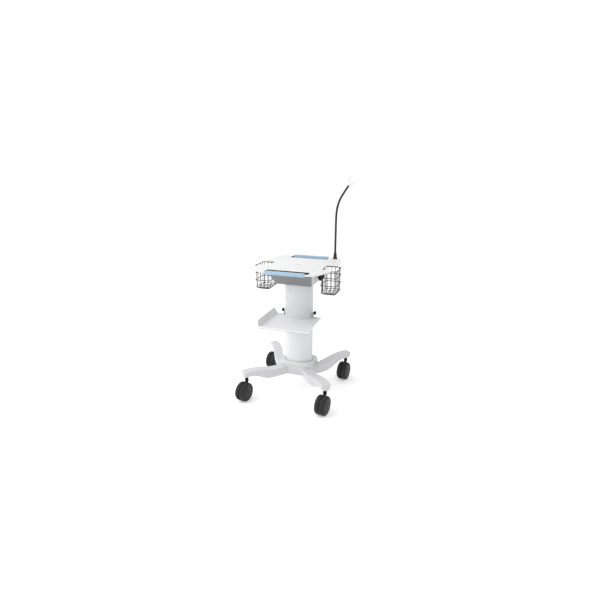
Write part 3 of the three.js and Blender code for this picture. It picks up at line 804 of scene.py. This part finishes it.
# ---------------------------------------------------------------- platform and grips
def build_platform():
    """The plate with its side notches, hand slots, latch slot, neck hole and four round pockets."""
    right = [
        (154, -258, 16),
        (192, -222, 24),
        (230, -122, 26),
        (236, -84, 8),
        (168, -84, 14),
        (168, 38, 14),
        (238, 38, 8),
        (236, 110, 30),
        (212, 212, 24),
        (184, 258, 16),
    ]
    outline = rounded_loop(right + [(-x, y, r) for x, y, r in right][::-1], 12)
    hand_slots = {"front": rounded_rect(131, -240, -187, 5), "rear": rounded_rect(122, 187, 240, 5)}
    latch = rounded_rect(12, -9, 1, 4)
    holes = [*hand_slots.values(), latch, circle_loop(NECK_X, NECK_Y, 5.2)]
    pockets = [(circle_loop(x, y, 10), 1.5) for x, y in ((140, -137), (-140, -137), (150, 150), (-150, 150))]
    slab(
        "platform_slab",
        outline,
        holes,
        PLATFORM_BOTTOM,
        PLATFORM_TOP,
        1.8,
        "platform_white",
        "frame",
        "platform_plate",
        pockets=pockets,
    )
    # Painted shadow: a black lining inside each hand slot stands for the shade seen down through the slot.
    for name, slot in hand_slots.items():
        edge = turning(slot, 1)
        outer, inner = inset(edge, -0.5), inset(edge, 0.8)
        slab(f"{name}_slot_painted_shadow", outer, [inner], 805.5, 815.4, 0.25, "moulded_black", "frame")


def build_grip(name, side):
    """A soft sleeve on the platform's rail, rounded and grooved at its ends."""
    centre_y, centre_z, half = side * 249, 813, 117
    ends = [(0.0, 3.0), (0.3, 1.8), (1.0, 0.8), (2.0, 0.2), (3.2, 0.0)]
    ends += [(7.0, 0.0), (7.6, 0.5), (8.6, 0.5), (9.2, 0.0)]
    stations = [(-half + depth, shrink) for depth, shrink in ends]
    stations += [(x, 0.0) for x in np.linspace(-100, 100, 40)]
    stations += [(half - depth, shrink) for depth, shrink in ends[::-1]]
    rings = []
    for x, shrink in stations:
        if abs(x) < 105:
            swell = 0.25 * math.sin(x * 0.21) * math.sin(x * 0.073)
            shrink += 0.3 - swell
        outline = rounded_rect(13 - shrink, -11 + shrink, 11 - shrink, 9.5 - shrink, 10)
        rings.append([(x, centre_y + u, centre_z + v) for u, v in outline])
    loft(f"{name}_sleeve", rings, "grip_blue", "frame", name, crease=60)


# ---------------------------------------------------------------- baskets
def build_basket(place, side):
    """Four ring wires, and two sets of U-shaped wires that cross at the basket's floor."""
    x0, x1, y0, y1 = 158, 259, -88, 45
    top, floor = 809.4, 660
    wire, rim = 2.0, 2.7
    parts = []
    for shrink, z, radius, thick in (
        (rim, top - rim, 15, rim),
        (wire, 765, 14, wire),
        (wire, 718, 14, wire),
        (4.5, floor + 11, 13, wire),
    ):
        loop = rounded_box(x0 + shrink, x1 - shrink, y0 + shrink, y1 - shrink, radius, 7)
        parts.append(tube([(x, y, z) for x, y in loop], thick, 10, closed=True))
    inner = 3 * wire + 0.1
    high, low, lower = top - rim, floor + wire + 3.2, floor + wire
    for x in (173, 197, 221, 244):
        front, rear = y0 + inner, y1 - inner
        route = [(x, front, high), (x, front, low), (x, rear, low), (x, rear, high)]
        parts.append(tube(path_with_bends(route, 16), wire, 8))
    for y in (-68, -37, -6, 25):
        near, far = x0 + inner, x1 - inner
        route = [(near, y, high), (near, y, lower), (far, y, lower), (far, y, high)]
        parts.append(tube(path_with_bends(route, 16), wire, 8))
    verts, faces = gathered(parts)
    verts = put([(side * x, y, z) for x, y, z in verts])
    make(f"basket_{place}_wires", verts, faces, "wire_black", "frame", f"basket_{place}", crease=60)


def build_bracket(place, side):
    """A moulded block under the platform's edge, hollowed out at its front and its rear."""
    profile = [(141.5, 749), (151, 738), (157.7, 742), (157.7, UNDER_PLATFORM), (141.5, UNDER_PLATFORM)]
    rings = [[(side * x, y, z) for x, z in profile] for y in (-60, 12)]
    bracket = loft(f"basket_bracket_{place}_block", rings, "moulded_black", None)
    across = sorted((side * 145, side * 154.5))
    cut_out(bracket, [box_body(*across, low, high, 756, 803) for low, high in ((-63, -45), (-3, 15))])
    softened(bracket, 1.2)
    dress(bracket, "moulded_black", "frame", f"basket_bracket_{place}")


# ---------------------------------------------------------------- tray
TRAY_FRONT = -288
TRAY_HALF = 146
# A side leans outwards: its full height and how far out it reaches. Its front end is cut back.
SIDE_RISE = 36
SIDE_RUN = 25
FRONT_RISE = 12


def tray_profile(reach, bend):
    """Half of the tray's upper surface from the middle out, as (x, z, outward normal)."""
    lean = math.atan2(SIDE_RISE, SIDE_RUN)
    tangent = bend * math.tan(lean / 2)
    flat = TRAY_HALF - tangent
    points = [(x, TRAY_FLOOR, (0.0, -1.0)) for x in np.linspace(0, flat, 12)]
    for a in np.linspace(0, lean, 7)[1:]:
        normal = (math.sin(a), -math.cos(a))
        points.append((flat + bend * math.sin(a), TRAY_FLOOR + bend * (1 - math.cos(a)), normal))
    out, up = math.cos(lean), math.sin(lean)
    start_x, start_z = TRAY_HALF + tangent * out, TRAY_FLOOR + tangent * up
    length = reach - tangent
    for t in np.linspace(0, 1, 5)[1:]:
        points.append((start_x + out * length * t, start_z + up * length * t, (up, -out)))
    return points


def build_tray():
    """A folded sheet: floor, leaning sides whose front ends are cut back, and a low front lip."""
    thick = 2.5
    slope = math.hypot(SIDE_RISE, SIDE_RUN)
    stations = [TRAY_FRONT + d for d in (0, 2.5, 6, 12, 18, 24, 30, 36)] + list(np.linspace(-245, 12, 24))
    rings = []
    for y in stations:
        cut = min(1.0, (y - TRAY_FRONT) / 36)
        rise = FRONT_RISE + (SIDE_RISE - FRONT_RISE) * cut
        right = tray_profile(slope * rise / SIDE_RISE, 5)
        upper = [(-x, z) for x, z, _ in right[::-1]] + [(x, z) for x, z, _ in right[1:]]
        lower = [(x + n[0] * thick, z + n[1] * thick) for x, z, n in right[::-1]]
        lower += [(-x - n[0] * thick, z + n[1] * thick) for x, z, n in right[1:]]
        rings.append([(x, y, z) for x, z in upper + lower])
    tray = loft("tray_sheet", rings, "tray_white", None)
    cut_out(tray, [body_through([oval(2.5, z, 160) for z in (470, 500, 540)])])
    softened(tray, 0.7, 2)
    dress(tray, "tray_white", "tray", "tray")

    wide = TRAY_HALF + FRONT_RISE * SIDE_RUN / SIDE_RISE
    high, low = TRAY_FLOOR + FRONT_RISE, TRAY_FLOOR - 2
    outline = [(-wide, high), (-TRAY_HALF, low), (TRAY_HALF, low), (wide, high)]
    verts = put([(x, y, z) for y in (TRAY_FRONT, TRAY_FRONT + thick) for x, z in outline])
    faces = [(0, 1, 2, 3), (7, 6, 5, 4), (0, 4, 5, 1), (1, 5, 6, 2), (2, 6, 7, 3), (3, 7, 4, 0)]
    lip = make("tray_front_lip", verts, faces, "tray_white", None)
    softened(lip, 0.5, 2)
    dress(lip, "tray_white", "tray")


def build_clamp(place, side):
    """A bent plate between the tray and a knob: a wide foot with two rivets, and a narrow tab."""
    foot, tab = (-15, 8.25), (-6, 2)
    profile = [(94.5, 485.3, foot), (115.5, 485.3, foot), (115.5, 487.6, foot), (99.6, 487.6, foot)]
    profile += [(98, 489.2, foot), (98, 522, tab), (94.5, 522, tab)]
    rings = [[(side * x, reach[end], z) for x, z, reach in profile] for end in (0, 1)]
    clamp = loft(f"tray_clamp_{place}_plate", rings, "tray_white", None)
    softened(clamp, 0.8)
    dress(clamp, "tray_white", "tray", f"tray_clamp_{place}")
    head = [(0, 0), (3.2, 0), (3.2, 0.4), (2.5, 1.3), (1.2, 1.8), (0, 1.9)]
    for index, y in enumerate((-9, 5)):
        centre = (side * 108, y, 487.6)
        turned(f"tray_rivet_{place}_{index}", head, "steel", "tray", centre=centre, count=24)


def build_knob(place, side):
    """A five-lobed knob with a round cap, on a threaded steel stud."""
    name = f"tray_knob_{place}"
    where = {"centre": (side * 98, 0, KNOB_HEIGHT), "axis": (side, 0, 0)}

    def lobes(radius, height, angle):
        return radius * (1 + 0.117 * (math.cos(5 * angle) - 1) * min(1.0, radius / 9)), height

    profile = [(0, 0.3), (8.5, 0.3), (10.6, 1.0), (11.6, 2.4), (12, 4.2), (12, 9.8), (11.5, 12.0)]
    profile += [(10.0, 13.5), (8.2, 14.1), (6.4, 14.3), (6.1, 13.6), (5.8, 13.6), (5.2, 14.2)]
    profile += [(2.6, 14.3), (0, 14.3)]
    turned(f"{name}_head", profile, "moulded_black", name, name, count=80, wave=lobes, crease=60, **where)
    stud = [(0, -19), (2.4, -19), (2.9, -18.4)]
    for k in range(22):
        height = -18 + k * 0.8
        stud += [(2.9, height), (2.55, height + 0.4)]
    stud += [(2.9, 0.0), (0, 0.0)]
    turned(f"tray_stud_{place}", stud, "steel", name, count=24, **where)


# ---------------------------------------------------------------- gooseneck
# The hose's middle line as x and z, from its boot to the clip.
NECK_ROUTE = [(166, 858.3), (166, 920), (166, 980), (166, 1040), (167, 1090), (170, 1126)]
NECK_ROUTE += [(178, 1163), (192, 1199), (214, 1236), (240, 1276)]
NECK_TIP = (240, NECK_Y, 1276)
NECK_LEAN = math.atan2(240 - 214, 1276 - 1236)


def build_gooseneck():
    """A ribbed boot, and one ribbed hose in place of the neck's two parts; the hose is tied to no body."""
    foot = [(0, 798), (4.6, 798), (4.8, 799), (4.8, 816.3), (14.0, 816.3), (14.5, 816.9), (14.5, 820.2)]
    foot += [(14.0, 821.0), (13.4, 821.6), (13.6, 822.3), (12.9, 826.0), (12.0, 830.0)]
    for k in range(6):
        z = 832 + k * 4.2
        r = 11.8 - (z - 830) * 0.105
        foot += [(r, z), (r - 0.7, z + 0.6), (r - 0.7, z + 1.4), (r - 0.2, z + 2.0)]
    foot += [(8.8, 857.2), (8.2, 858), (0, 858)]
    centre = (NECK_X, NECK_Y, 0)
    turned("gooseneck_boot", foot, "neck_black", "neck_lower", "gooseneck_foot", centre=centre, count=48)

    curve = spline(NECK_ROUTE, 40)
    length = run_lengths(curve)
    along = np.linspace(0, length[-1], 560)
    x = np.interp(along, length, curve[:, 0])
    z = np.interp(along, length, curve[:, 1])
    rib_pitch = 2.6
    radius = 6.82 + 0.18 * np.cos(2 * math.pi * along / rib_pitch)
    radius[:2] = radius[-2:] = 6.4
    verts, faces = tube([(a, NECK_Y, b) for a, b in zip(x, z)], radius, 20)
    neck = make("gooseneck_hose", put(verts), faces, "neck_black", None, crease=None)
    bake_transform(neck)
    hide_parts("gooseneck_lower", "gooseneck_upper")


def build_clip():
    """A collar on the hose's end, and a U-shaped fork that leans with it."""
    axis = (math.sin(NECK_LEAN), 0, math.cos(NECK_LEAN))
    collar = [(0, 0.7), (8.1, 0.7), (8.8, 1.0), (9, 1.7), (9, 2.8), (8.5, 3.2), (8.5, 3.9), (9, 4.3)]
    collar += [(9, 7.0), (8.5, 7.8), (0, 8.0)]
    turned(
        "clip_collar_ring",
        collar,
        "clip_white",
        "neck_upper",
        "clip_collar",
        centre=NECK_TIP,
        axis=axis,
        count=40,
    )
    left = [(-16, 51, 3), (-24, 47, 2), (-21, 17, 10), (-8, 8.3, 2)]
    right = [(-x, y, r) for x, y, r in left[::-1]]
    outline = rounded_loop([*left, *right, (14, 24, 10), (-14, 24, 10)])
    lean = Matrix.Rotation(NECK_LEAN, 4, "Y")
    stand = Matrix.Rotation(math.radians(90), 4, "X")
    shape = Matrix.Translation(put([NECK_TIP])[0]) @ lean @ stand @ Matrix.Scale(MM, 4)
    slab("clip_fork_shell", outline, [], -7, 7, 1.8, "clip_white", "clip", "clip_fork", shape=shape)


# ---------------------------------------------------------------- casters
HUB_RIM = 40
HUB_CAP = 15


def spokes(radius, height, angle):
    """Sinks the outer face of a hub between six spokes."""
    if height < 20 or radius > HUB_RIM or radius < HUB_CAP:
        return radius, height
    rib = 0.5 + 0.5 * math.cos(6 * angle)
    across = math.sin(math.pi * (radius - HUB_CAP) / (HUB_RIM - HUB_CAP))
    return radius, height - 1.7 * across * (1 - rib**2)


def build_wheel(corner, place, centre, axis):
    """A crowned tyre on a dished hub with six shallow spokes and a cap."""
    body, node = f"wheel_{corner}_{place}", f"caster_{corner}_{place}"
    shared = {"centre": centre, "axis": axis, "count": 96, "crease": 50}
    tyre = [(48, 5.6), (51, 4.7), (55.5, 4.1), (57.2, 4.3), (57.8, 4.9), (58.0, 6.0), (58.0, 11.0)]
    tyre += [(58.0, 18.5), (57.6, 22.0), (56.6, 25.4), (54.8, 28.4), (52.4, 30.2), (50.0, 30.8)]
    tyre += [(48.4, 30.6), (48.0, 30.2)]
    turned(f"{node}_tread", tyre, "tyre_grey", body, f"{node}_tyre", **shared)
    hub = [(0, 24), (5.3, 24), (5.3, 4.8), (30, 5.2), (47.0, 5.8), (47.7, 6.8), (47.7, 29.7), (46.9, 30.5)]
    hub += [(45.4, 30.6), (44.6, 29.8), (43.8, 29.8), (42.8, 30.9), (40.5, 31.6)]
    hub += [(r, 34.6 - (r / HUB_RIM) ** 2 * 2.8) for r in (37, 34, 31, 28, 25, 22, 19, 16)]
    hub += [(14.2, 34.2), (13.6, 33.4), (12.9, 33.4), (12.3, 34.4), (8, 34.7), (4, 34.9), (0, 34.95)]
    turned(f"{node}_hub_disc", hub, "hub_grey", body, f"{node}_hub", wave=spokes, **shared)


def build_caster(corner, x, y, turn):
    """Stem, two wheels with a disc between them, and a fork smoothed from the CAD body."""
    name = f"caster_{corner}"
    angle = math.radians(turn)
    heading = (math.sin(angle), -math.cos(angle))
    across = (math.cos(angle), math.sin(angle))
    centre = (x + TRAIL * heading[0], y + TRAIL * heading[1], WHEEL_CENTRE)
    for place, side in SIDES.items():
        build_wheel(corner, place, centre, (side * across[0], side * across[1], 0))
    stem = [(0, 121), (5.4, 121), (5.4, 143), (10.8, 143), (11.5, 143.6), (11.5, 147.2), (10.9, 147.7)]
    stem += [(6, 147.7), (6, 172), (0, 172)]
    turned(f"{name}_stem_pin", stem, "moulded_black", "frame", f"{name}_stem", centre=(x, y, 0), count=40)
    # Painted light: the disc takes the hubs' grey, a little lighter than the fork's black, to lift the shade
    # in the gap between the wheels.
    disc = [(6.2, -2.7), (52.6, -2.7), (53.4, -1.9), (53.4, 1.9), (52.6, 2.7), (6.2, 2.7)]
    turned(f"{name}_centre_disc", disc, "hub_grey", name, centre=centre, axis=(*across, 0), count=72)
    fork = added(f"{name}_fork", nodes[f"{name}_body"].data.copy())
    modified(fork, "REMESH", mode="VOXEL", voxel_size=0.0009)
    modified(fork, "SMOOTH", factor=0.5, iterations=4)
    smooth(fork.data)
    dress(fork, "moulded_black", name, f"{name}_body")


# ---------------------------------------------------------------- everything
set_camera()
set_floor()
set_light()
build_base()
build_collar()
build_column()
build_housing()
build_platform()
build_grip("front_grip", -1)
build_grip("rear_grip", 1)
for place, side in SIDES.items():
    build_basket(place, side)
    build_bracket(place, side)
    build_clamp(place, side)
    build_knob(place, side)
build_tray()
build_gooseneck()
build_clip()
for corner, (x, y, turn) in CORNERS.items():
    build_caster(corner, x, y, turn)

# The small hidden parts keep their CAD shape and take a finish of their own.
slots = {row["node"]: row["material_slot"] for row in frame["record"]["subparts"]}
for name, node in nodes.items():
    node.data.materials.clear()
    node.data.materials.append(LOOKS[slots[name]])
